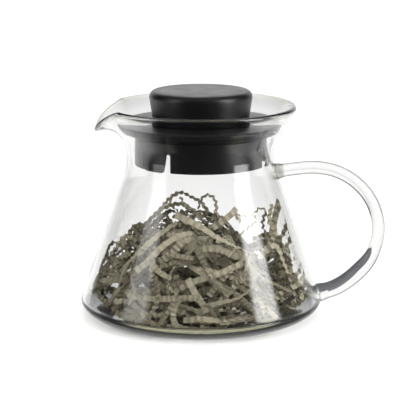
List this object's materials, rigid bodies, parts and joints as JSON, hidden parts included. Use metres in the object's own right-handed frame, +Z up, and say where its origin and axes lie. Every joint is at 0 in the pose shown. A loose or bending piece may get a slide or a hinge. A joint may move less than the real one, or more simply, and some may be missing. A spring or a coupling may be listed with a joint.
{
  "type": "glass teapot with stopper lid",
  "caption": "Clear glass teapot with a flared rim, pulled pouring lip and bent glass rod handle, closed by a lift-off black plastic lid with spring fingers in the neck.",
  "frame": {"origin": "centre of the flat underside of the glass, on the surface that the pot stands on", "axes": "+Z up through the lid knob, +X from the pouring lip towards the handle, +Y to the back"},
  "size_m": [0.1503, 0.119, 0.1125],
  "materials": {
    "clear_glass": "clear, flame-polished",
    "black_plastic": "fine satin moulding"
  },
  "bodies": {
    "pot": {"glass_body": "clear_glass", "glass_handle": "clear_glass"},
    "lid": {"lid_knob": "black_plastic", "lid_flange": "black_plastic", "lid_skirt": "black_plastic"}
  },
  "joints": [
    {"name": "lid_lift", "type": "slide", "parent": "pot", "child": "lid", "axis": [0, 0, 1], "range_m": [0, 0.06]}
  ]
}
